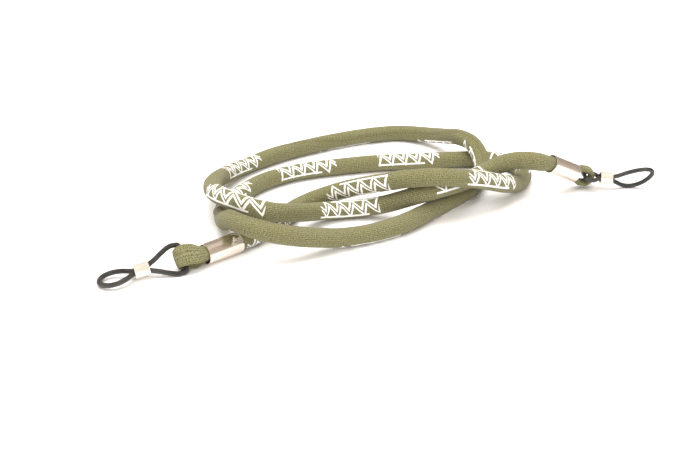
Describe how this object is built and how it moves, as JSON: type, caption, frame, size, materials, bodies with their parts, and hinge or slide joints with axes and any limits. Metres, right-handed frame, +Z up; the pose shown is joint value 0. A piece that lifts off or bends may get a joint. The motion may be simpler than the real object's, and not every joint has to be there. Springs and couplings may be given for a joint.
{
  "type": "eyeglass retainer strap",
  "caption": "Stuffed fabric tube strap lying in loose turns, each end folded in a metal sleeve round a rubber temple loop with a sliding wire collar.",
  "frame": {"origin": "middle of the object's footprint, on the surface it lies on", "axes": "+Z up, +X from the left end to the right end of the laid-out strap, +Y away from the viewer"},
  "size_m": [0.2103, 0.1502, 0.0217],
  "materials": {
    "fabric": "olive knit with a small white printed pattern",
    "filler": "soft twisted filler cord",
    "nickel": "polished nickel plate",
    "rubber": "satin black",
    "wire": "close-wound nickel-plated wire"
  },
  "bodies": {
    "strap": {"fabric_tube": "fabric", "core_cord": "filler", "left_end_fold": "fabric", "right_end_fold": "fabric", "left_sleeve": "nickel", "right_sleeve": "nickel"},
    "left_loop": {"left_rubber_loop": "rubber"},
    "left_clamp": {"left_collar": "wire"},
    "right_loop": {"right_rubber_loop": "rubber"},
    "right_clamp": {"right_collar": "wire"}
  },
  "joints": [
    {"name": "left_loop_hinge", "type": "hinge", "parent": "strap", "child": "left_loop", "pos_m": [-0.07767, -0.06003, 0.0049], "axis": [-0.3663, 0.6109, 0.7018], "range_deg": [-95, 95]},
    {"name": "left_collar_slide", "type": "slide", "parent": "left_loop", "child": "left_clamp", "axis": [-0.9067, -0.4037, -0.1219], "range_m": [0, 0.006], "deforming": ["left_rubber_loop"]},
    {"name": "right_loop_hinge", "type": "hinge", "parent": "strap", "child": "right_loop", "pos_m": [0.07716, 0.01299, 0.0056], "axis": [-0.0698, -0.9976, 0], "range_deg": [-90, 90]},
    {"name": "right_collar_slide", "type": "slide", "parent": "right_loop", "child": "right_clamp", "axis": [0.9938, -0.0695, -0.0872], "range_m": [0, 0.006], "deforming": ["right_rubber_loop"]}
  ]
}
